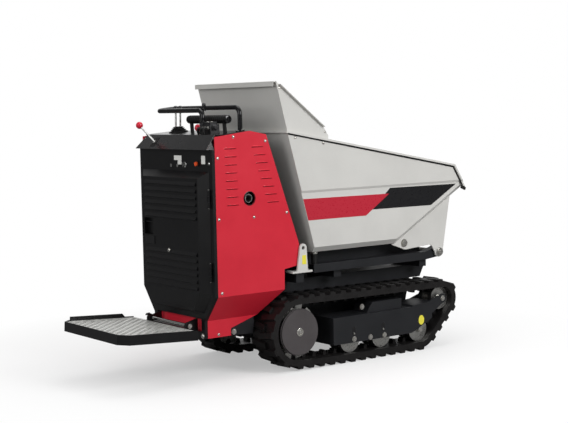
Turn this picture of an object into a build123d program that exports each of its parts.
"""Tracked site dumper with a front-tipping tub, a rear engine console and a fold-up standing platform.

Millimetres. +X is forward, towards the tub's pouring lip, +Y is the machine's left and +Z is up.
The origin is on the ground, in the middle of the machine. Right-hand pieces lie at -Y.
"""

import math
import os

from build123d import *

# Track belt and the wheels that it runs round
track_overall_width = 780.0
belt_width = 180.0
belt_carcass = 32.0
lug_height = 14.0
lug_reach = 112.0
lug_slant = 16.0
lug_root = 42.0
lug_tip = 30.0
belt_pitches = 38
horn_height = 24.0
horn_root = 26.0
horn_tip = 14.0
horn_width = 40.0
horn_clearance = 4.0
sprocket_x = -100.0
sprocket_z = 204.0
sprocket_seat = 148.0
sprocket_teeth = 12
idler_x = 931.0
idler_z = 275.0
idler_seat = 65.0
roller_xs = (262.0, 487.0, 762.0)
roller_radius = 67.0
roller_width = 104.0
wheel_gap = 0.5

# Track frame inside the belt
frame_setback = 8.0
frame_inset = 10.0
frame_plate = 8.0
frame_rear_x = 126.0
frame_front_x = 690.0
frame_bottom_z = 104.0
frame_top_z = 250.0
hump_rear_x = 378.0
hump_front_x = 635.0
hump_top_z = 305.0
block_front_x = 848.0
block_top_z = 270.0
block_low_z = 162.0
yoke_height = 52.0
hump_setback = 22.0

# Chassis
belly_gap = 10.0
belly_wall = 10.0
belly_top_z = 458.0
belly_bottom_z = 386.0
chassis_rear_x = -575.0
chassis_front_x = 963.0
shield_radius = 124.0
shield_thickness = 12.0
motor_radius = 62.0

# Tipping subframe
beam_outer_y = 320.0
beam_size = 45.0
beam_wall = 4.0
beam_rear_x = 49.0
beam_front_x = 922.0
beam_top_z = 543.0
tip_x = 950.0
tip_z = 538.0
tip_shaft_radius = 15.0
tip_ear_radius = 30.0
pin_fit = 0.1

# Lifting eyes
eye_x = -50.0
eye_z = 643.0
eye_radius = 22.0
eye_bore = 10.0
eye_plate = 10.0
eye_outer_y = 359.0
eye_foot_length = 130.0
eye_foot_width = 62.0

# Tub
tub_wall = 4.0
tub_rim_rear = (-150.0, 1258.0)
tub_rim_front = (1044.0, 1035.0)
tub_lip = (1130.0, 902.0)
tub_floor_z = 612.0
tub_floor_rear_x = 30.0
tub_floor_front_x = 612.0
tub_bevel = 28.0
tub_half_floor = 362.0
tub_half_below = 363.0
tub_half_crease = 370.0
tub_half_rim = 371.0
tub_crease_z = 943.0
tub_crease_band = 13.0
rim_flange = 11.0
rim_depth = 10.0

# Hopper extension that stands in the back of the tub
hopper_top_rear = (-212.0, 1514.0)
hopper_front_high = (94.0, 1275.0)
hopper_front_low = (126.0, 1227.0)
hopper_wall = 3.0
hopper_lap = 40.0
hopper_fit = 0.9
hopper_flange = 18.0

# Brackets under the tub
bracket_outer_y = 336.0
bracket_plate = 8.0
bracket_tip = (591.0, 606.0)
bracket_keel = (690.0, 570.0)
bracket_notch_rear = (767.0, 576.0)
bracket_notch_front = (890.0, 584.0)
bracket_top_front_x = 1040.0
bracket_round = 26.0

# Console
body_half_width = 345.0
body_low_half_width = 242.0
body_rear_x = -585.0
body_fold_z = 434.0
body_low_z = 303.0
body_bottom_z = 212.0
panel_sheet = 3.0
top_sheet = 4.0
peak_x = -369.0
peak_z = 1265.0
top_rear_z = 1249.0
front_top_x = -266.0
front_top_z = 1244.0
front_low_x = -67.0
front_low_z = 667.0
step_z = 554.0
notch_x = -167.0
hood_rear_x = -632.0
hood_top_x = -565.0
hood_low_z = 1176.0
exhaust_x = -379.0
exhaust_z = 922.0
exhaust_radius = 34.0

# Rear door and its frame
door_frame_depth = 18.0
door_half_width = 318.0
door_half_face = 262.0
door_top_z = 1066.0
door_face_top_z = 1032.0
door_bend_z = 450.0
door_bottom_z = 345.0
door_half_bottom = 242.0
door_depth = 36.0
door_gap = 6.0

# Standing platform
platform_half_width = 316.0
platform_rear_x = -1129.0
platform_front_x = -660.0
platform_tilt = 3.5
platform_rim_height = 45.0
platform_plate = 5.0
hinge_x = -663.0
hinge_z = 280.0
hinge_pin_radius = 9.0
hinge_ear_y = 186.0

# Tipping cylinder
ram_base = (20.0, 490.0)
ram_eye = (860.0, 610.0)
barrel_radius = 30.0
rod_radius = 15.0
ram_pin_radius = 12.0

# How far a cutting outline reaches past the machine
beyond_side = 500.0
beyond_end = 1300.0

os.makedirs("parts", exist_ok=True)


def keep(piece, node):
    """Names a finished piece and writes its STEP file."""
    piece.label = node
    export_step(piece, f"parts/{node}.step")


def keep_pair(piece, node):
    """Writes a right-hand piece and its mirror image on the left."""
    keep(piece, f"{node}_right")
    keep(mirror(piece, about=Plane.XZ), f"{node}_left")


def keep_both(piece, node):
    """Writes a right-hand piece and its mirror image as one node."""
    keep(Compound(children=[*piece.solids(), *mirror(piece, about=Plane.XZ).solids()]), node)


def outline(*points, mode=Mode.ADD):
    """The straight-sided area through the points, inside the sketch that is open."""
    Polygon(*points, align=None, mode=mode)


def disc(x, z, radius, bore=0.0):
    """A disc, bored if asked, inside the sketch that is open."""
    with Locations((x, z)):
        Circle(radius)
        if bore:
            Circle(bore, mode=Mode.SUBTRACT)


def both_halves(points):
    """A closed cross-section from the corners (y, z) of its left half."""
    return list(points) + [(-y, z) for y, z in reversed(points)]


def shifted(line, amount):
    """The open line of points moved square to itself, to its left, with sharp corners."""
    sides = []
    for start, end in zip(line, line[1:]):
        run = math.dist(start, end)
        along = ((end[0] - start[0]) / run, (end[1] - start[1]) / run)
        sides.append((start[0] - along[1] * amount, start[1] + along[0] * amount, *along))
    moved = [sides[0][:2]]
    for (ax, az, au, aw), (bx, bz, bu, bw) in zip(sides, sides[1:]):
        step = ((bx - ax) * bw - (bz - az) * bu) / (au * bw - aw * bu)
        moved.append((ax + au * step, az + aw * step))
    _, _, au, aw = sides[-1]
    moved.append((line[-1][0] - aw * amount, line[-1][1] + au * amount))
    return moved


def strip(line, thickness):
    """The outline of a bent sheet that lies on the left of the line."""
    return line + shifted(line, thickness)[::-1]


def height_on(start, end, x):
    """The height at x of the straight line through two points (x, z)."""
    return start[1] + (end[1] - start[1]) * (x - start[0]) / (end[0] - start[0])


# The belt's path: tangent runs and arcs round the sprocket, the end rollers and the idler

belt_outer_y = track_overall_width / 2
belt_inner_y = belt_outer_y - belt_width
belt_middle_y = belt_outer_y - belt_width / 2
frame_outer_y = belt_outer_y - frame_setback
frame_inner_y = belt_inner_y + frame_inset
belly_half_width = belt_inner_y - belly_gap
roller_z = lug_height + belt_carcass + roller_radius
wheels = [
    (sprocket_x, sprocket_z, sprocket_seat),
    (roller_xs[0], roller_z, roller_radius),
    (roller_xs[-1], roller_z, roller_radius),
    (idler_x, idler_z, idler_seat),
]


def belt_path(grow):
    """The runs and arcs of the belt's outline at this height above its inner face."""
    count = len(wheels)
    normals = []
    for i in range(count):
        (ax, az, ar), (bx, bz, br) = wheels[i], wheels[(i + 1) % count]
        lean = math.asin((ar - br) / math.hypot(bx - ax, bz - az))
        normals.append(math.atan2(bz - az, bx - ax) - math.pi / 2 + lean)
    path = []
    for i in range(count):
        (ax, az, ar), (bx, bz, br) = wheels[i], wheels[(i + 1) % count]
        turn = normals[i]
        start = (ax + (ar + grow) * math.cos(turn), az + (ar + grow) * math.sin(turn))
        end = (bx + (br + grow) * math.cos(turn), bz + (br + grow) * math.sin(turn))
        sweep = (normals[(i + 1) % count] - turn) % (2 * math.pi)
        path.append(("run", start, end, turn, math.dist(start, end)))
        path.append(("arc", (bx, bz), br + grow, turn, (br + grow) * sweep))
    return path


def belt_face(grow):
    """The area inside the belt's outline at this height above its inner face."""
    with BuildSketch() as face:
        with BuildLine():
            for kind, first, second, turn, length in belt_path(grow):
                if kind == "run":
                    Line(first, second)
                else:
                    angles = [turn + length / second * share for share in (0, 0.5, 1)]
                    ThreePointArc(*[(first[0] + second * math.cos(a), first[1] + second * math.sin(a))
                                    for a in angles])
        make_face()
    return face.sketch


# The height above the inner face where the belt's pitch matches the sprocket's
inner_length = sum(piece[4] for piece in belt_path(0))
wrapped = sprocket_teeth / belt_pitches
pitch_line = (wrapped * inner_length / (2 * math.pi) - sprocket_seat) / (1 - wrapped)


def belt_station(way):
    """The point on the belt's inner face at this share of its length, and its outward angle."""
    path = belt_path(pitch_line)
    way = (way % 1.0) * sum(piece[4] for piece in path)
    for kind, first, second, turn, length in path:
        if way <= length:
            break
        way -= length
    if kind == "run":
        share = way / length
        x, z = (a + (b - a) * share for a, b in zip(first, second))
    else:
        turn += way / second
        x, z = first[0] + second * math.cos(turn), first[1] + second * math.sin(turn)
    return x - pitch_line * math.cos(turn), z - pitch_line * math.sin(turn), turn


def tooth_on_belt(way, low, high, root, tip):
    """A tooth's outline that stands on the belt between two heights above its inner face."""
    x, z, turn = belt_station(way)
    out, along = (math.cos(turn), math.sin(turn)), (-math.sin(turn), math.cos(turn))
    corners = ((-root / 2, low), (root / 2, low), (tip / 2, high), (-tip / 2, high))
    outline(*[(x + along[0] * a + out[0] * h, z + along[1] * a + out[1] * h) for a, h in corners])


root_sunk = 3.0


def slanted_lug(way, edge_y, inward):
    """A ground lug from one edge of the right-hand belt, which leans along the belt as it runs inward."""
    turn = belt_station(way)[2]
    lean = Vector(-math.sin(turn), 0, math.cos(turn)) * lug_slant
    with BuildPart() as lug:
        with BuildSketch(Plane.XZ.offset(edge_y)):
            tooth_on_belt(way, belt_carcass - root_sunk, belt_carcass + lug_height, lug_root, lug_tip)
        extrude(amount=math.hypot(lug_reach, lug_slant), dir=lean + Vector(0, inward * lug_reach, 0))
    return lug.part


with BuildPart() as track_belt:
    with BuildSketch(Plane.XZ.offset(belt_inner_y)):
        add(belt_face(belt_carcass))
        add(belt_face(0), mode=Mode.SUBTRACT)
    extrude(amount=belt_width)
    add([slanted_lug(number / belt_pitches, belt_outer_y, 1) for number in range(belt_pitches)])
    add([slanted_lug((number + 0.5) / belt_pitches, belt_inner_y, -1) for number in range(belt_pitches)])
    with BuildSketch(Plane.XZ.offset(belt_middle_y - horn_width / 2)):
        for number in range(belt_pitches):
            tooth_on_belt(number / belt_pitches, root_sunk, -horn_height, horn_root, horn_tip)
    extrude(amount=horn_width)
keep_pair(track_belt.part, "track_belt")

# Drive sprocket, notched for the belt's horns, with its hub out to the shield

sprocket_width = 46.0
hub_radius = 48.0
notch_depth = horn_height + horn_clearance
rear_horn = min((belt_station(number / belt_pitches) for number in range(belt_pitches)), key=lambda at: at[0])
shield_back_y = frame_outer_y - shield_thickness
shield_lip = 5.0
motor_flange = 22.0
motor_flange_thickness = 9.0

with BuildPart() as drive_sprocket:
    with BuildSketch(Plane.XZ.offset(belt_middle_y - sprocket_width / 2)):
        disc(sprocket_x, sprocket_z, sprocket_seat - wheel_gap)
        with Locations((sprocket_x, sprocket_z)):
            with PolarLocations(sprocket_seat, sprocket_teeth, math.degrees(rear_horn[2])):
                root, tip = horn_root / 2 + horn_clearance, horn_tip / 2 + horn_clearance
                outline((2, -root), (2, root), (-notch_depth, tip), (-notch_depth, -tip), mode=Mode.SUBTRACT)
    extrude(amount=sprocket_width)
    with BuildSketch(Plane.XZ.offset(belt_middle_y + sprocket_width / 2)):
        disc(sprocket_x, sprocket_z, hub_radius)
    extrude(amount=shield_back_y - belt_middle_y - sprocket_width / 2)
keep_pair(drive_sprocket.part, "drive_sprocket")

with BuildPart() as sprocket_shield:
    with BuildSketch(Plane.XZ.offset(shield_back_y)):
        disc(sprocket_x, sprocket_z, shield_radius)
    extrude(amount=shield_thickness / 2)
    with BuildSketch(Plane.XZ.offset(shield_back_y + shield_thickness / 2)):
        disc(sprocket_x, sprocket_z, shield_radius - shield_lip)
    extrude(amount=shield_thickness / 2)
keep_both(sprocket_shield.part, "sprocket_shields")

with BuildPart() as drive_motor:
    with BuildSketch(Plane.XZ.offset(belly_half_width)):
        disc(sprocket_x, sprocket_z, motor_radius)
    extrude(amount=belt_middle_y - sprocket_width / 2 - belly_half_width)
    with BuildSketch(Plane.XZ.offset(belly_half_width)):
        disc(sprocket_x, sprocket_z, motor_radius + motor_flange)
    extrude(amount=motor_flange_thickness)
keep_both(drive_motor.part, "drive_motors")

# Front idler: two rims with a groove for the horns, on its axle

idler_groove = horn_width + 2 * horn_clearance
axle_radius = 18.0

with BuildPart() as front_idler:
    with BuildSketch(Plane.XZ.offset(belt_middle_y - roller_width / 2)):
        disc(idler_x, idler_z, idler_seat - wheel_gap)
    extrude(amount=roller_width)
    with BuildSketch(Plane.XZ.offset(belt_middle_y - idler_groove / 2)):
        disc(idler_x, idler_z, idler_seat + 1, idler_seat - horn_height - horn_clearance)
    extrude(amount=idler_groove, mode=Mode.SUBTRACT)
    with BuildSketch(Plane.XZ.offset(frame_inner_y + frame_plate)):
        disc(idler_x, idler_z, axle_radius)
    extrude(amount=frame_outer_y - frame_inner_y - 2 * frame_plate)
keep_pair(front_idler.part, "front_idler")

# Three grooved rollers on their axles

roller_axle = 14.0

with BuildPart() as track_rollers:
    for x in roller_xs:
        with BuildSketch(Plane.XZ.offset(belt_middle_y - roller_width / 2)):
            disc(x, roller_z, roller_radius - wheel_gap)
        extrude(amount=roller_width)
        with BuildSketch(Plane.XZ.offset(belt_middle_y - idler_groove / 2)):
            disc(x, roller_z, roller_radius + 1, roller_radius - horn_height - horn_clearance)
        extrude(amount=idler_groove, mode=Mode.SUBTRACT)
        with BuildSketch(Plane.XZ.offset(frame_inner_y + frame_plate)):
            disc(x, roller_z, roller_axle)
        extrude(amount=frame_outer_y - frame_inner_y - 2 * frame_plate)
keep_pair(track_rollers.part, "track_rollers")

# Track frame: a folded channel, open below, that holds the roller axles, with the idler's yoke in front

nose_rise = 12.0
yoke_lap = 20.0
frame_side = [
    (frame_rear_x, frame_bottom_z),
    (frame_front_x, frame_bottom_z),
    (block_front_x - yoke_lap, block_low_z),
    (block_front_x, block_low_z + nose_rise),
    (block_front_x, block_top_z),
    (frame_front_x + yoke_lap, block_top_z - nose_rise),
    (frame_front_x, frame_top_z),
    (frame_rear_x, frame_top_z),
]
hump_side = [
    (hump_rear_x, frame_top_z),
    (hump_rear_x + 41, hump_top_z),
    (hump_front_x, hump_top_z),
    (hump_front_x, frame_top_z),
]
channel_roof = frame_top_z - frame_plate

with BuildPart() as track_frame:
    with BuildSketch(Plane.XZ.offset(frame_inner_y)):
        outline(*frame_side)
    extrude(amount=frame_outer_y - frame_inner_y)
    with BuildSketch(Plane.XZ.offset(frame_inner_y + frame_plate)):
        outline(
            (frame_rear_x + frame_plate, 0),
            (block_front_x - frame_plate, 0),
            (block_front_x - frame_plate, channel_roof),
            (frame_rear_x + frame_plate, channel_roof),
        )
    extrude(amount=frame_outer_y - frame_inner_y - 2 * frame_plate, mode=Mode.SUBTRACT)
    with BuildSketch(Plane.XZ.offset(frame_inner_y + hump_setback)):
        outline(*hump_side)
    extrude(amount=frame_outer_y - frame_inner_y - 2 * hump_setback)
    for y in (frame_inner_y, frame_outer_y - frame_plate):
        with BuildSketch(Plane.XZ.offset(y)):
            outline(
                (block_front_x - yoke_lap, block_low_z + 2 * nose_rise),
                (idler_x, idler_z - yoke_height / 2),
                (idler_x, idler_z + yoke_height / 2),
                (block_front_x - yoke_lap, block_top_z - 1),
            )
            disc(idler_x, idler_z, yoke_height / 2)
        extrude(amount=frame_plate)
keep_pair(track_frame.part, "track_frame")

# Chassis: the belly box with its tail plates, motor mounts and cross tubes

cross_tube_xs = (200.0, 560.0)
cross_tube_z = 205.0
cross_tube_radius = 34.0
keel_half_width = 120.0
keel_bottom_z = 150.0
keel_front_x = 860.0
keel_rear_x = 140.0
keel_slope = 60.0
tail_plate_y = 238.0
tail_plate = 8.0
tail_bar = [(-440.0, 240.0), (-400.0, 240.0), (-400.0, 310.0), (-440.0, 310.0)]
tail_side = [(-442.0, 212.0), (-302.0, 206.0), (-292.0, 262.0), (-300.0, 330.0), (-442.0, 330.0)]
cradle_xs = (-545.0, -215.0)
cradle_bar = 50.0
cradle_rise = 30.0
cradle_half_width = body_half_width - panel_sheet - 0.3
belly_side = [
    (chassis_rear_x, belly_top_z),
    (chassis_rear_x, belly_top_z - 90),
    (-440.0, 300.0),
    (-430.0, 215.0),
    (-280.0, 205.0),
    (-150.0, 130.0),
    (-20.0, 130.0),
    (60.0, 200.0),
    (140.0, belly_bottom_z),
    (924.0, belly_bottom_z),
    (chassis_front_x, belly_top_z),
]

with BuildPart() as chassis:
    with BuildSketch(Plane.XZ.offset(-belly_half_width)):
        outline(*belly_side)
    extrude(amount=2 * belly_half_width)
    with BuildSketch(Plane.XZ.offset(-(belly_half_width - belly_wall))):
        outline(*belly_side)
        offset(amount=-belly_wall, kind=Kind.INTERSECTION, mode=Mode.REPLACE)
    extrude(amount=2 * (belly_half_width - belly_wall), mode=Mode.SUBTRACT)
    with BuildSketch(Plane.XZ.offset(-keel_half_width)):
        outline(
            (keel_rear_x, keel_bottom_z),
            (keel_front_x, keel_bottom_z),
            (keel_front_x + keel_slope, belly_bottom_z),
            (keel_rear_x - keel_slope, belly_bottom_z),
            (keel_rear_x - keel_slope, keel_bottom_z + keel_slope),
        )
    extrude(amount=2 * keel_half_width)
    for side in (-1, 1):
        with BuildSketch(Plane.XZ.offset(side * (tail_plate_y - tail_plate / 2) - tail_plate / 2)):
            outline(*tail_side)
        extrude(amount=tail_plate)
    with BuildSketch(Plane.XZ.offset(-tail_plate_y + tail_plate)):
        outline(*tail_bar)
    extrude(amount=2 * (tail_plate_y - tail_plate))
    for x in cradle_xs:
        with BuildSketch(Plane.XY.offset(belly_top_z)):
            with Locations((x, 0)):
                Rectangle(cradle_bar, 2 * cradle_half_width)
        extrude(amount=cradle_rise)
    for x in cross_tube_xs:
        with BuildSketch(Plane.XZ.offset(-frame_inner_y)):
            disc(x, cross_tube_z, cross_tube_radius)
        extrude(amount=2 * frame_inner_y)
keep(chassis.part, "chassis")

# Tipping subframe: two beams with their outriggers and front ears

outrigger_xs = (230.0, 860.0)
outrigger_width = 50.0
outrigger_inner_y = 60.0
outrigger_setback = 24.0
skirt_y = 240.0
skirt_plate = 6.0
skirt_top_z = 600.0
skirt_bottom_z = 500.0
clevis_half_gap = 24.0
clevis_plate = 10.0
clevis_reach = 34.0
ear_root = 60.0
eye_bracket_x = -57.0
eye_foot_z = 512.0

with BuildPart() as tip_subframe:
    for side in (-1, 1):
        with BuildSketch(Plane.YZ.offset(beam_rear_x)):
            with Locations((side * (beam_outer_y - beam_size / 2), beam_top_z - beam_size / 2)):
                Rectangle(beam_size, beam_size)
                Rectangle(beam_size - 2 * beam_wall, beam_size - 2 * beam_wall, mode=Mode.SUBTRACT)
        extrude(amount=beam_front_x - ear_root - beam_rear_x)
        with BuildSketch(Plane.XZ.offset(side * (beam_outer_y - beam_size / 2) - beam_size / 2)):
            outline(
                (beam_front_x - ear_root, beam_top_z - beam_size),
                (tip_x, tip_z - tip_ear_radius),
                (tip_x, tip_z + tip_ear_radius),
                (beam_front_x - ear_root, beam_top_z),
            )
            disc(tip_x, tip_z, tip_ear_radius)
            with Locations((tip_x, tip_z)):
                Circle(tip_shaft_radius + pin_fit, mode=Mode.SUBTRACT)
        extrude(amount=beam_size)
        for x in outrigger_xs:
            with BuildSketch(Plane.XY.offset(belly_top_z)):
                with Locations((x, side * (outrigger_inner_y + beam_outer_y - outrigger_setback) / 2)):
                    Rectangle(outrigger_width, beam_outer_y - outrigger_setback - outrigger_inner_y)
            extrude(amount=beam_top_z - beam_size - belly_top_z)
        with BuildSketch(Plane.XZ.offset(side * skirt_y - skirt_plate / 2)):
            outline(
                (beam_rear_x, skirt_bottom_z),
                (beam_front_x - ear_root, skirt_bottom_z),
                (beam_front_x - ear_root, skirt_top_z),
                (beam_rear_x, skirt_top_z),
            )
        extrude(amount=skirt_plate)
        for x in outrigger_xs:
            with BuildSketch(Plane.XY.offset(skirt_bottom_z)):
                with Locations((x, side * (skirt_y + beam_outer_y - beam_size) / 2)):
                    Rectangle(outrigger_width, beam_outer_y - beam_size - skirt_y)
            extrude(amount=beam_size / 2)
            with BuildSketch(Plane.XY.offset(belly_top_z)):
                with Locations((x, side * skirt_y)):
                    Rectangle(outrigger_width, skirt_plate)
            extrude(amount=skirt_top_z - belly_top_z)
        with BuildSketch(Plane.XY.offset(belly_top_z)):
            with Locations((eye_bracket_x, side * (outrigger_inner_y + eye_outer_y - outrigger_setback) / 2)):
                Rectangle(outrigger_width, eye_outer_y - outrigger_setback - outrigger_inner_y)
        extrude(amount=eye_foot_z - belly_top_z)
        with BuildSketch(Plane.XZ.offset(side * (clevis_half_gap + clevis_plate / 2) - clevis_plate / 2)):
            outline(
                (ram_base[0] - clevis_reach, belly_top_z),
                (ram_base[0] + clevis_reach, belly_top_z),
                (ram_base[0] + 20, ram_base[1] + 18),
                (ram_base[0] - 20, ram_base[1] + 18),
            )
            with Locations(ram_base):
                Circle(ram_pin_radius + pin_fit, mode=Mode.SUBTRACT)
        extrude(amount=clevis_plate)
keep(tip_subframe.part, "tip_subframe")

with BuildPart() as tip_shaft:
    with BuildSketch(Plane.XZ.offset(-(bracket_outer_y + 3))):
        disc(tip_x, tip_z, tip_shaft_radius)
    extrude(amount=2 * (bracket_outer_y + 3))
    for side in (-1, 1):
        with BuildSketch(Plane.XZ.offset(side * (bracket_outer_y + 7) - 4)):
            disc(tip_x, tip_z, tip_shaft_radius + 8)
        extrude(amount=8)
keep(tip_shaft.part, "tip_shaft")

with BuildPart() as ram_base_pin:
    with BuildSketch(Plane.XZ.offset(-(clevis_half_gap + clevis_plate + 4))):
        disc(*ram_base, ram_pin_radius)
    extrude(amount=2 * (clevis_half_gap + clevis_plate + 4))
keep(ram_base_pin.part, "ram_base_pin")

# Rubber buffers on the beams, under the tub's floor

buffer_x = 70.0
buffer_radius = 17.0
rest_gap = 0.3

with BuildPart() as tub_buffers:
    with BuildSketch(Plane.XY.offset(beam_top_z)):
        with Locations(*[(buffer_x, side * (beam_outer_y - beam_size / 2)) for side in (-1, 1)]):
            Circle(buffer_radius)
    extrude(amount=tub_floor_z - rest_gap - beam_top_z)
keep(tub_buffers.part, "tub_buffers")

# Lifting eyes at the back of the subframe

with BuildPart() as lifting_eye:
    with BuildSketch(Plane.XZ.offset(eye_outer_y - eye_plate)):
        outline(
            (eye_bracket_x - 36, eye_foot_z),
            (eye_bracket_x + 36, eye_foot_z),
            (eye_x + eye_radius, eye_z),
            (eye_x - eye_radius, eye_z),
        )
        disc(eye_x, eye_z, eye_radius)
        with Locations((eye_x, eye_z)):
            Circle(eye_bore, mode=Mode.SUBTRACT)
    extrude(amount=eye_plate)
    with BuildSketch(Plane.XY.offset(eye_foot_z)):
        with Locations((eye_bracket_x, -(eye_outer_y - eye_foot_width / 2))):
            Rectangle(eye_foot_length, eye_foot_width)
    extrude(amount=eye_plate)
keep_both(lifting_eye.part, "lifting_eyes")

# Tub

tub_side = [tub_rim_rear, (tub_floor_rear_x, tub_floor_z), (tub_floor_front_x, tub_floor_z), tub_lip, tub_rim_front]
tub_section = [
    (tub_half_floor, tub_floor_z - 20),
    (tub_half_floor, tub_floor_z),
    (tub_half_below, tub_crease_z - tub_crease_band),
    (tub_half_crease, tub_crease_z),
    (tub_half_rim, tub_rim_rear[1]),
    (tub_half_rim, tub_rim_rear[1] + 20),
]

with BuildPart() as tub_shell:
    with BuildSketch(Plane.XZ.offset(-beyond_side)):
        outline(*tub_side)
    extrude(amount=2 * beyond_side)
    with BuildSketch(Plane.YZ.offset(-beyond_end)):
        outline(*both_halves(tub_section))
    extrude(amount=2 * beyond_end, mode=Mode.INTERSECT)
    low_edges = tub_shell.edges().filter_by(lambda e: e.center().Z < tub_crease_z - 2 * tub_crease_band)
    low_edges = [e for e in low_edges if abs(e.tangent_at(0.5).X) > 0.8 and abs(e.center().Y) > tub_half_floor / 2]
    chamfer(low_edges, tub_bevel)
    mouth = tub_shell.faces().filter_by(lambda f: f.normal_at().Z > 0.3)
    offset(amount=-tub_wall, openings=mouth, kind=Kind.INTERSECTION)

# The folded rim: along both sides down to the lip, and across the back

rim_line = [tub_lip, tub_rim_front, tub_rim_rear]
rear_wall = [tub_rim_rear, (tub_floor_rear_x, tub_floor_z)]

with BuildPart() as tub_rim:
    with BuildSketch(Plane.XZ.offset(-beyond_side)):
        outline(*strip(rim_line, rim_depth))
    extrude(amount=2 * beyond_side)
    with BuildSketch(Plane.YZ.offset(-beyond_end)):
        outline(*both_halves([(y + rim_flange, z) for y, z in tub_section]))
        outline(*both_halves(tub_section), mode=Mode.SUBTRACT)
    extrude(amount=2 * beyond_end, mode=Mode.INTERSECT)
    with BuildSketch(Plane.XZ.offset(-(tub_half_rim + rim_flange))):
        rear_x, rear_z = tub_rim_rear
        outline(
            (rear_x, rear_z),
            (rear_x - rim_flange, rear_z),
            (rear_x - rim_flange, rear_z - rim_depth),
            (rear_x + rim_depth * (tub_floor_rear_x - rear_x) / (rear_z - tub_floor_z), rear_z - rim_depth),
        )
    extrude(amount=2 * (tub_half_rim + rim_flange))

with BuildPart() as tub_shell_with_rim:
    add(tub_shell.part)
    add(tub_rim.part)
keep(tub_shell_with_rim.part, "tub_shell")

# Brackets under the tub's sloping front, with the tipping ears

slope = ((tub_floor_front_x, tub_floor_z), tub_lip)
bracket_side = [
    bracket_tip,
    (tub_floor_front_x, tub_floor_z),
    (bracket_top_front_x, height_on(*slope, bracket_top_front_x)),
    (tip_x + tip_ear_radius, tip_z),
    (tip_x - tip_ear_radius, tip_z),
    bracket_notch_front,
    bracket_notch_rear,
    bracket_keel,
]

ram_lug_gap = 26.0
ram_lug_plate = 10.0
ram_lug_radius = 26.0
ram_lug_side = [
    (ram_eye[0] - 110, height_on(*slope, ram_eye[0] - 110)),
    (ram_eye[0] - ram_lug_radius, ram_eye[1]),
    (ram_eye[0] + ram_lug_radius, ram_eye[1]),
    (ram_eye[0] + 70, height_on(*slope, ram_eye[0] + 70)),
]

with BuildPart() as tub_brackets:
    for side in (-1, 1):
        with BuildSketch(Plane.XZ.offset(side * (bracket_outer_y - bracket_plate / 2) - bracket_plate / 2)) as plate:
            outline(*bracket_side)
            low_corners = [v for v in plate.vertices() if bracket_tip[0] + 40 < v.X < tip_x - 40 and v.Z < tub_floor_z]
            fillet(low_corners, bracket_round)
            disc(tip_x, tip_z, tip_ear_radius)
            with Locations((tip_x, tip_z)):
                Circle(tip_shaft_radius + pin_fit, mode=Mode.SUBTRACT)
        extrude(amount=bracket_plate)
        with BuildSketch(Plane.XZ.offset(side * (ram_lug_gap + ram_lug_plate / 2) - ram_lug_plate / 2)):
            outline(*ram_lug_side)
            disc(*ram_eye, ram_lug_radius)
            with Locations(ram_eye):
                Circle(ram_pin_radius + pin_fit, mode=Mode.SUBTRACT)
        extrude(amount=ram_lug_plate)
keep(tub_brackets.part, "tub_brackets")

# Tipping cylinder, laid along the line from its base pin to its eye pin

ram_angle = math.atan2(ram_eye[1] - ram_base[1], ram_eye[0] - ram_base[0])
ram_length = math.dist(ram_base, ram_eye)
barrel_length = 560.0
rod_start = 60.0
sliding_fit = 0.3
barrel_start = 42.0
ram_plane = Plane(origin=(ram_base[0], 0, ram_base[1]), x_dir=(0, 1, 0),
                  z_dir=(math.cos(ram_angle), 0, math.sin(ram_angle)))
eye_outer = 24.0
eye_half_width = 22.0

with BuildPart() as ram_barrel:
    with BuildSketch(ram_plane.offset(barrel_start)):
        Circle(barrel_radius)
    extrude(amount=barrel_length - barrel_start)
    with BuildSketch(Plane.XZ.offset(-eye_half_width)):
        disc(*ram_base, eye_outer)
    extrude(amount=2 * eye_half_width)
    with BuildSketch(ram_plane):
        Rectangle(2 * eye_half_width, 40)
    extrude(amount=barrel_start + 2)
    with BuildSketch(ram_plane.offset(barrel_start + 10)):
        Circle(rod_radius + sliding_fit)
    extrude(amount=barrel_length, mode=Mode.SUBTRACT)
    with BuildSketch(Plane.XZ.offset(-eye_half_width)):
        disc(*ram_base, ram_pin_radius + sliding_fit)
    extrude(amount=2 * eye_half_width, mode=Mode.SUBTRACT)
keep(ram_barrel.part, "ram_barrel")

with BuildPart() as ram_rod:
    with BuildSketch(ram_plane.offset(rod_start)):
        Circle(rod_radius)
    extrude(amount=ram_length - rod_start - (eye_outer + ram_pin_radius) / 2)
    with BuildSketch(Plane.XZ.offset(-eye_half_width)):
        disc(*ram_eye, eye_outer)
    extrude(amount=2 * eye_half_width)
    with BuildSketch(Plane.XZ.offset(-eye_half_width)):
        disc(*ram_eye, ram_pin_radius + sliding_fit)
    extrude(amount=2 * eye_half_width, mode=Mode.SUBTRACT)
keep(ram_rod.part, "ram_rod")

with BuildPart() as ram_eye_pin:
    with BuildSketch(Plane.XZ.offset(-(eye_half_width + 1))):
        disc(*ram_eye, ram_pin_radius)
    extrude(amount=2 * (eye_half_width + 1))
keep(ram_eye_pin.part, "ram_eye_pin")

# Hopper extension

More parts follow.
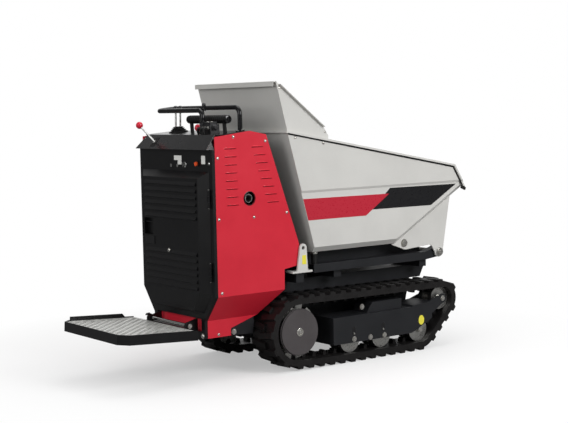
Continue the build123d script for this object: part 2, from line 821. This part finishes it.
inner_rear_wall = shifted([tub_rim_rear, (tub_floor_rear_x, tub_floor_z)], tub_wall + hopper_fit)
hopper_foot_z = tub_rim_rear[1] - hopper_lap
hopper_foot_x = inner_rear_wall[0][0] + (inner_rear_wall[0][1] - hopper_foot_z) * (
    (inner_rear_wall[1][0] - inner_rear_wall[0][0]) / (inner_rear_wall[0][1] - inner_rear_wall[1][1])
)
hopper_low_z = height_on(tub_rim_rear, tub_rim_front, hopper_front_low[0]) - hopper_lap
hopper_half = height_on((tub_crease_z, tub_half_crease), (tub_rim_rear[1], tub_half_rim), hopper_low_z)
hopper_half -= tub_wall + hopper_fit
hopper_back = [(hopper_foot_x, hopper_foot_z), inner_rear_wall[0], hopper_top_rear]
hopper_cheek = [
    hopper_back[0],
    (hopper_front_low[0], hopper_low_z),
    hopper_front_low,
    hopper_front_high,
    hopper_top_rear,
    hopper_back[1],
]

flange_middle = hopper_flange / 2 - hopper_wall / 2
flange_end = (hopper_top_rear[0] + hopper_flange, height_on(hopper_front_high, hopper_top_rear, hopper_top_rear[0] + hopper_flange))

with BuildPart() as hopper_extension:
    with BuildSketch(Plane.XZ.offset(-hopper_half)):
        outline(*strip(hopper_back[::-1], hopper_wall))
    extrude(amount=2 * hopper_half)
    for side in (-1, 1):
        with BuildSketch(Plane.XZ.offset(side * (hopper_half - hopper_wall / 2) - hopper_wall / 2)):
            outline(*hopper_cheek)
        extrude(amount=hopper_wall)
        with BuildSketch(Plane.XZ.offset(side * (hopper_half + flange_middle) - hopper_flange / 2)):
            outline(*strip([hopper_front_high, flange_end], hopper_wall))
        extrude(amount=hopper_flange)
    with BuildSketch(Plane.XZ.offset(-hopper_half + hopper_wall)):
        with Locations((hopper_top_rear[0] - flange_middle, hopper_top_rear[1] - hopper_wall)):
            Rectangle(hopper_flange, hopper_wall)
    extrude(amount=2 * (hopper_half - hopper_wall))
keep(hopper_extension.part, "hopper_extension")

# Red side panels: one folded sheet, cut to its outline

panel_outline = [
    (body_rear_x, top_rear_z - 10),
    (peak_x, peak_z),
    (front_top_x, front_top_z),
    (front_low_x, front_low_z),
    (front_low_x - 3, step_z),
    (notch_x + 2, step_z - 14),
    (notch_x, body_fold_z),
    (-275.0, body_low_z),
    (-442.0, 250.0),
    (-443.0, body_bottom_z),
    (body_rear_x, body_bottom_z),
]
panel_fold = [
    (body_half_width, peak_z + 40),
    (body_half_width, body_fold_z),
    (body_low_half_width, body_low_z),
    (body_low_half_width, body_bottom_z - 20),
]

slits = 8
slit_length = 74.0
slit_height = 2.5
rear_slits = ((-491.0, 1177.0), (-481.0, 892.0))
front_slits = ((-322.0, 1181.0), (-230.0, 894.0))

with BuildPart() as side_panel:
    with BuildSketch(Plane.YZ.offset(-beyond_end)):
        outline(*[(-y, z) for y, z in strip(panel_fold, -panel_sheet)])
    extrude(amount=2 * beyond_end)
    with BuildSketch(Plane.XZ.offset(panel_sheet)):
        outline(*panel_outline)
        with Locations((exhaust_x, exhaust_z)):
            Circle(exhaust_radius, mode=Mode.SUBTRACT)
        for high, low in (rear_slits, front_slits):
            for number in range(slits):
                share = number / (slits - 1)
                with Locations((high[0] + (low[0] - high[0]) * share, high[1] + (low[1] - high[1]) * share)):
                    Rectangle(slit_length, slit_height, mode=Mode.SUBTRACT)
    extrude(amount=beyond_side, mode=Mode.INTERSECT)
keep_pair(side_panel.part, "side_panel")

# Front wall of the console

wall_line = [
    (front_top_x, front_top_z - top_sheet - 0.5),
    (front_low_x, front_low_z),
    (front_low_x - 3, step_z),
]

with BuildPart() as front_wall:
    with BuildSketch(Plane.XZ.offset(-cradle_half_width)):
        outline(*strip(wall_line, -panel_sheet))
    extrude(amount=2 * cradle_half_width)
keep(front_wall.part, "front_wall")

# Engine, as one block on the cradle

engine_x = -345.0
engine_length = 270.0
engine_width = 400.0
engine_height = 360.0
exhaust_inner_y = engine_width / 2
exhaust_pipe_radius = 22.0
exhaust_pipe_wall = 3.0
exhaust_setback = 8.0

with BuildPart() as engine_block:
    with BuildSketch(Plane.XY.offset(belly_top_z + cradle_rise)):
        with Locations((engine_x, 0)):
            Rectangle(engine_length, engine_width)
    extrude(amount=engine_height)
keep(engine_block.part, "engine_block")

with BuildPart() as exhaust_outlet:
    with BuildSketch(Plane.XZ.offset(exhaust_inner_y)):
        disc(exhaust_x, exhaust_z, exhaust_pipe_radius, exhaust_pipe_radius - exhaust_pipe_wall)
    extrude(amount=body_half_width - exhaust_inner_y - exhaust_setback)
keep(exhaust_outlet.part, "exhaust_outlet")

# Console top with the hood over the instrument panel

frame_face_x = body_rear_x - 0.3 - door_frame_depth
top_line = [(front_top_x, front_top_z), (peak_x, peak_z), (hood_top_x, top_rear_z)]
hood_half_high = 318.0
hood_ridge = 5.0

with BuildPart() as hood:
    with BuildSketch(Plane.XY.offset(hood_low_z)):
        with Locations(((hood_rear_x + body_rear_x) / 2, 0)):
            Rectangle(body_rear_x - hood_rear_x, 2 * cradle_half_width)
    with BuildSketch(Plane.XY.offset(top_rear_z)):
        with Locations((hood_top_x + hood_ridge / 2, 0)):
            Rectangle(hood_ridge, 2 * hood_half_high)
    loft(ruled=True)
    open_faces = [hood.faces().sort_by(Axis.Z)[0], hood.faces().sort_by(Axis.X)[-1]]
    offset(amount=-top_sheet, openings=open_faces, kind=Kind.INTERSECTION)

with BuildPart() as console_top:
    add(hood.part)
    with BuildSketch(Plane.XZ.offset(-cradle_half_width)):
        outline(*strip(top_line, top_sheet))
    extrude(amount=2 * cradle_half_width)
keep(console_top.part, "console_top")

# Black frame round the door, with the instrument panel across its top

frame_outline = [
    (body_half_width, hood_low_z - 0.5),
    (body_half_width, body_fold_z),
    (body_low_half_width, body_low_z),
    (body_low_half_width, body_bottom_z),
]
door_opening = [
    (door_half_width - 20, door_top_z - 20),
    (door_half_width - 20, door_bend_z + 10),
    (door_half_bottom - 20, door_bottom_z + 20),
]
low_opening = [
    (body_low_half_width - 30, body_low_z + 10),
    (body_low_half_width - 30, body_bottom_z + 34),
]

door_hinge_x = -612.0
door_hinge_y = 322.0
door_hinge_zs = (560.0, 930.0)
knuckle_radius = 6.0
knuckle_length = 30.0
knuckle_gap = 1.0

with BuildPart() as rear_frame:
    with BuildSketch(Plane.YZ.offset(frame_face_x)):
        outline(*both_halves(frame_outline))
        outline(*both_halves(door_opening), mode=Mode.SUBTRACT)
        outline(*both_halves(low_opening), mode=Mode.SUBTRACT)
    extrude(amount=door_frame_depth)
    for z in door_hinge_zs:
        for low in (z - knuckle_length * 1.5 - knuckle_gap, z + knuckle_length / 2 + knuckle_gap):
            with BuildSketch(Plane.XY.offset(low)):
                disc(door_hinge_x, -door_hinge_y, knuckle_radius)
                outline(
                    (door_hinge_x, -door_hinge_y - knuckle_radius),
                    (frame_face_x, -door_hinge_y - knuckle_radius),
                    (frame_face_x, -door_hinge_y),
                    (door_hinge_x, -door_hinge_y),
                )
            extrude(amount=knuckle_length)
keep(rear_frame.part, "rear_frame")

with BuildPart() as lower_rear_panel:
    with BuildSketch(Plane.YZ.offset(body_rear_x + 0.3)):
        outline(*both_halves([
            (body_low_half_width - panel_sheet - 1, body_low_z + 14),
            (body_low_half_width - panel_sheet - 1, body_bottom_z),
        ]))
    extrude(amount=panel_sheet)
keep(lower_rear_panel.part, "lower_rear_panel")

# Rear door: a raised cover with chamfered sides

door_face_x = frame_face_x - 0.5
crown_x = door_face_x - door_depth
louvres = 6
louvre_proud = 8.0
high_louvres = (1004.0, 832.0)
low_louvres = (648.0, 476.0)
pull_centre = (216.0, 768.0)
pull_width = 84.0
pull_height = 88.0
pull_depth = 20.0
latch_plate_z = 697.0
door_base = [
    (door_half_width, door_top_z),
    (door_half_width, door_bend_z),
    (door_half_bottom, door_bottom_z),
]
door_crown = [
    (door_half_face, door_face_top_z),
    (door_half_face, door_bend_z + 10),
    (door_half_bottom - 46, door_bottom_z + 12),
]

with BuildPart() as rear_door:
    with BuildSketch(Plane.YZ.offset(door_face_x)):
        outline(*both_halves(door_base))
    with BuildSketch(Plane.YZ.offset(door_face_x - door_depth)):
        outline(*both_halves(door_crown))
    loft(ruled=True)
    back = rear_door.faces().sort_by(Axis.X)[-1]
    offset(amount=-panel_sheet, openings=back, kind=Kind.INTERSECTION)
    with BuildSketch(Plane.YZ.offset(crown_x)):
        with Locations(pull_centre):
            Rectangle(pull_width, pull_height)
    extrude(amount=pull_depth, mode=Mode.SUBTRACT)
    with BuildSketch(Plane.YZ.offset(crown_x + pull_depth)):
        with Locations((pull_centre[0] + 2 * panel_sheet, pull_centre[1])):
            Rectangle(pull_width + 8 * panel_sheet, pull_height + 2 * panel_sheet)
    extrude(amount=panel_sheet)
    with BuildSketch(Plane.YZ.offset(crown_x + panel_sheet)):
        with Locations(pull_centre):
            Rectangle(pull_width + 2 * panel_sheet, pull_height + 2 * panel_sheet)
            Rectangle(pull_width, pull_height, mode=Mode.SUBTRACT)
    extrude(amount=pull_depth - panel_sheet)
    with BuildSketch(Plane.XZ.offset(-door_half_face + 16)):
        for high, low in (high_louvres, low_louvres):
            for number in range(louvres):
                z = high + (low - high) * number / (louvres - 1)
                outline((crown_x + 1, z + 12), (crown_x - louvre_proud, z - 8), (crown_x - 1, z - 12), (crown_x + 1, z - 12))
    extrude(amount=2 * door_half_face - 32)
    with BuildSketch(Plane.YZ.offset(crown_x - 2)):
        with Locations((pull_centre[0] - 10, latch_plate_z)):
            Rectangle(100, 42)
    extrude(amount=3)
    for z in door_hinge_zs:
        with BuildSketch(Plane.XY.offset(z - knuckle_length / 2)):
            disc(door_hinge_x, -door_hinge_y, knuckle_radius)
            outline(
                (door_hinge_x, -door_hinge_y),
                (door_hinge_x + knuckle_radius, -door_hinge_y),
                (door_face_x, -door_half_width),
                (door_face_x, -door_half_width + 12),
                (door_hinge_x, -door_half_width + 12),
            )
        extrude(amount=knuckle_length)
keep(rear_door.part, "rear_door")

# Controls on the console

rail_tube = 12.5
rail_x = -389.0
rail_near_y = -290.0
rail_far_y = 312.0
rail_top_z = 1385.0
rail_back_x = -509.0
rail_back_y = -128.0
rail_foot_radius = 24.0
rail_foot_height = 6.0
rail_bend = 38.0
bar_x = -430.0
bar_z = 1325.0
bar_radius = 21.0
bar_near_y = -245.0
bar_far_y = 115.0
rail_droop = 12.0
foot_lap = 3.0
knob_fit = 0.3
valve_height = 58.0


def top_height(x):
    """The height of the console's top at x, behind its ridge."""
    return height_on((hood_top_x, top_rear_z), (peak_x, peak_z), x)


top_lean = math.degrees(math.atan2(peak_z - top_rear_z, peak_x - hood_top_x))


def on_top(x, y):
    """A plane that lies on the console's sloping top at this place."""
    return Plane(origin=(x, y, top_height(x)), z_dir=Vector(0, 0, 1).rotate(Axis.Y, -top_lean))


with BuildPart() as guard_rail:
    with BuildLine():
        rail_path = FilletPolyline(
            (rail_x, rail_near_y, top_height(rail_x) + foot_lap),
            (rail_x, rail_near_y, rail_top_z),
            (rail_x, rail_far_y, rail_top_z),
            (rail_back_x, rail_far_y, rail_top_z - rail_droop),
            (rail_back_x, rail_back_y, rail_top_z - rail_droop),
            (rail_back_x, rail_back_y, top_height(rail_back_x) + valve_height + foot_lap),
            radius=rail_bend,
        )
    with BuildSketch(Plane(rail_path @ 0, z_dir=rail_path % 0)):
        Circle(rail_tube)
    sweep()
    with BuildSketch(on_top(rail_x, rail_near_y)):
        Circle(rail_foot_radius)
    extrude(amount=rail_foot_height)
    with BuildSketch(on_top(rail_back_x, rail_back_y).offset(valve_height + knob_fit)):
        Circle(rail_tube)
    extrude(amount=rail_foot_height)
keep(guard_rail.part, "guard_rail")

lever_x = -450.0
lever_ys = (173.0, 218.0)
lever_knob_z = 1385.0
knob_radius = 15.0
rod_size = 5.0
rod_lift = 0.8
boot_radius = 52.0
boot_foot = 6.0
boot_height = 26.0
tip_lever_at = (-483.0, -104.0)
tip_grip_low = 1368.0
tip_grip_high = 1412.0
tip_grip_radius = 11.0
throttle_foot = (-600.0, 196.0)
throttle_knob = (-640.0, 282.0, 1300.0)
park_foot = (-494.0, -72.0)
park_knob = (-500.0, -72.0, 1283.0)
red_knob_radius = 19.0


def ball(place, radius):
    """A knob at this place, turned as a sixteen-sided ball."""
    x, y, z = place
    turned = [(x + radius * math.sin(math.pi * i / 8), z + radius * math.cos(math.pi * i / 8)) for i in range(9)]
    with BuildPart() as knob:
        with BuildSketch(Plane.XZ.offset(-y)):
            outline(*turned)
        revolve(axis=Axis((x, y, z), (0, 0, 1)))
    return knob.part


def rod(foot, head, ball_radius):
    """A straight round rod from its foot to just short of the ball round its head."""
    way = Vector(*head) - foot
    with BuildPart() as bar:
        with BuildSketch(Plane(origin=foot, z_dir=way)):
            Circle(rod_size)
        extrude(amount=way.length - ball_radius - knob_fit)
    return bar.part


with BuildPart() as lever_boot:
    with BuildSketch(on_top(lever_x, sum(lever_ys) / 2)):
        Circle(boot_radius)
    extrude(amount=boot_foot)
    with BuildSketch(on_top(lever_x, sum(lever_ys) / 2).offset(boot_foot)):
        Circle(boot_radius - 8)
    extrude(amount=boot_height - boot_foot, taper=30)
keep(lever_boot.part, "lever_boot")

valve_x = -490.0
valve_y = -150.0
valve_length = 68.0
valve_width = 110.0
valve_cap = 14.0
spool_radius = 16.0
spool_reach = 22.0

with BuildPart() as hydraulic_valve:
    with BuildSketch(on_top(valve_x, valve_y)):
        Rectangle(valve_length, valve_width)
    extrude(amount=valve_height - valve_cap)
    with BuildSketch(on_top(valve_x, valve_y).offset(valve_height - valve_cap)):
        Rectangle(valve_length - valve_cap, valve_width)
    extrude(amount=valve_cap)
    with BuildSketch(Plane.XZ.offset(-valve_y + valve_width / 2 - 1)):
        disc(valve_x, top_height(valve_x) + valve_height / 2, spool_radius)
    extrude(amount=spool_reach)
keep(hydraulic_valve.part, "hydraulic_valve")

hood_slope = Vector(hood_low_z - top_rear_z, 0, hood_top_x - hood_rear_x).normalized()
throttle_z = height_on((hood_rear_x, hood_low_z), (hood_top_x, top_rear_z), throttle_foot[0])
throttle_boss = Plane(origin=(*throttle_foot, throttle_z), z_dir=hood_slope).offset(rod_lift)

with BuildPart() as lever_rods:
    for y in lever_ys:
        add(rod(on_top(lever_x, y).offset(boot_height + rod_lift).origin, (lever_x, y, lever_knob_z), knob_radius))
    add(rod(on_top(*tip_lever_at).offset(valve_height + rod_lift).origin, (*tip_lever_at, tip_grip_low), 0))
    add(rod(on_top(*park_foot).offset(rod_lift).origin, park_knob, red_knob_radius))
    add(rod(throttle_boss.offset(rod_size).origin, throttle_knob, red_knob_radius))
    with BuildSketch(throttle_boss):
        Circle(2 * rod_size)
    extrude(amount=rod_size)
keep(lever_rods.part, "lever_rods")

with BuildPart() as lever_grips:
    for y in lever_ys:
        add(ball((lever_x, y, lever_knob_z), knob_radius))
    with BuildSketch(Plane.XY.offset(tip_grip_low)):
        disc(*tip_lever_at, tip_grip_radius)
    extrude(amount=tip_grip_high - tip_grip_low)
keep(lever_grips.part, "lever_grips")

with BuildPart() as red_knobs:
    add(ball(throttle_knob, red_knob_radius))
    add(ball(park_knob, red_knob_radius))
keep(red_knobs.part, "red_knobs")

# Padded bar across the console, on two posts

post_ys = (-215.0, 90.0)

with BuildPart() as hand_bar:
    with BuildSketch(Plane.XZ.offset(-bar_far_y)):
        disc(bar_x, bar_z, bar_radius)
    extrude(amount=bar_far_y - bar_near_y)
    for y in post_ys:
        with BuildSketch(on_top(bar_x, y)):
            Circle(2 * rod_size)
        extrude(amount=bar_z - top_height(bar_x))
keep(hand_bar.part, "hand_bar")

# Standing platform: a rimmed tray with a pierced deck, on two ears that turn on the hinge shaft

platform_plane = Plane(
    origin=(hinge_x, 0, hinge_z),
    x_dir=(-math.cos(math.radians(platform_tilt)), 0, math.sin(math.radians(platform_tilt))),
    z_dir=(math.sin(math.radians(platform_tilt)), 0, math.cos(math.radians(platform_tilt))),
)
tray_start = 26.0
tray_length = 440.0
tray_top = -10.0
deck_sheet = 4.0
ear_plate = 10.0
ear_radius = 22.0
deck_gap = 0.3
slot_size = 15.0
slot_pitch = 47.0
slot_row = 24.0
slot_rows = 16
slots_in_row = 12
corner_cut = 46.0
rib_pitch = 210.0
rib_depth = platform_rim_height - deck_sheet - platform_plate
tray_floor = 3.0


def tray_outline(inset, mode=Mode.ADD):
    """The tray's plan, cut off at both rear corners and set in by this much, inside the sketch that is open."""
    half_length, half_width = tray_length / 2 - inset, platform_half_width - inset
    cut = corner_cut - inset * (2 - math.sqrt(2))
    outline(
        (-half_length, -half_width),
        (half_length - cut, -half_width),
        (half_length, -half_width + cut),
        (half_length, half_width - cut),
        (half_length - cut, half_width),
        (-half_length, half_width),
        mode=mode,
    )



with BuildPart() as platform_frame:
    with BuildSketch(platform_plane.offset(tray_top)):
        with Locations((tray_start + tray_length / 2, 0)):
            tray_outline(0)
            tray_outline(platform_plate, mode=Mode.SUBTRACT)
    extrude(amount=-platform_rim_height)
    with BuildSketch(platform_plane.offset(tray_top - platform_rim_height + platform_plate)):
        with Locations((tray_start + tray_length / 2, 0)):
            tray_outline(platform_plate / 2)
    extrude(amount=-tray_floor)
    with BuildSketch(platform_plane.offset(tray_top - deck_sheet - deck_gap)):
        with Locations((tray_start + tray_length / 2, 0)):
            with GridLocations(1, rib_pitch, 1, 3):
                Rectangle(tray_length - platform_plate, platform_plate)
    extrude(amount=-rib_depth)
    for side in (-1, 1):
        with BuildSketch(Plane.XZ.offset(side * hinge_ear_y - ear_plate / 2)):
            with Locations((hinge_x, hinge_z)):
                with Locations(Rotation(0, 0, -platform_tilt)):
                    with Locations((-tray_start / 2 - 1, tray_top - 14)):
                        Rectangle(tray_start + 2, 30)
            disc(hinge_x, hinge_z, ear_radius)
            with Locations((hinge_x, hinge_z)):
                Circle(hinge_pin_radius + pin_fit, mode=Mode.SUBTRACT)
        extrude(amount=ear_plate)
keep(platform_frame.part, "platform_frame")

with BuildPart() as platform_deck:
    with BuildSketch(platform_plane.offset(tray_top)):
        with Locations((tray_start + tray_length / 2, 0)):
            tray_outline(platform_plate + deck_gap)
            with GridLocations(2 * slot_row, slot_pitch, slot_rows // 2 + 1, slots_in_row):
                RegularPolygon(slot_size, 8, mode=Mode.SUBTRACT)
            with GridLocations(2 * slot_row, slot_pitch, slot_rows // 2, slots_in_row - 1):
                RegularPolygon(slot_size, 8, mode=Mode.SUBTRACT)
    extrude(amount=-deck_sheet)
keep(platform_deck.part, "platform_deck")

# Hinge of the platform: a shaft in two brackets on the chassis

hinge_bracket_y = hinge_ear_y - ear_plate - 2

with BuildPart() as platform_hinge:
    with BuildSketch(Plane.XZ.offset(-(hinge_ear_y + ear_plate / 2 + 4))):
        disc(hinge_x, hinge_z, hinge_pin_radius)
    extrude(amount=2 * (hinge_ear_y + ear_plate / 2 + 4))
    for side in (-1, 1):
        with BuildSketch(Plane.XZ.offset(side * hinge_bracket_y - ear_plate / 2)):
            outline(
                (frame_face_x - 0.3, hinge_z - 40),
                (frame_face_x - 0.3, hinge_z + 34),
                (hinge_x, hinge_z + ear_radius - 4),
                (hinge_x, hinge_z - ear_radius + 4),
            )
            disc(hinge_x, hinge_z, ear_radius - 4)
        extrude(amount=ear_plate)
keep(platform_hinge.part, "platform_hinge")
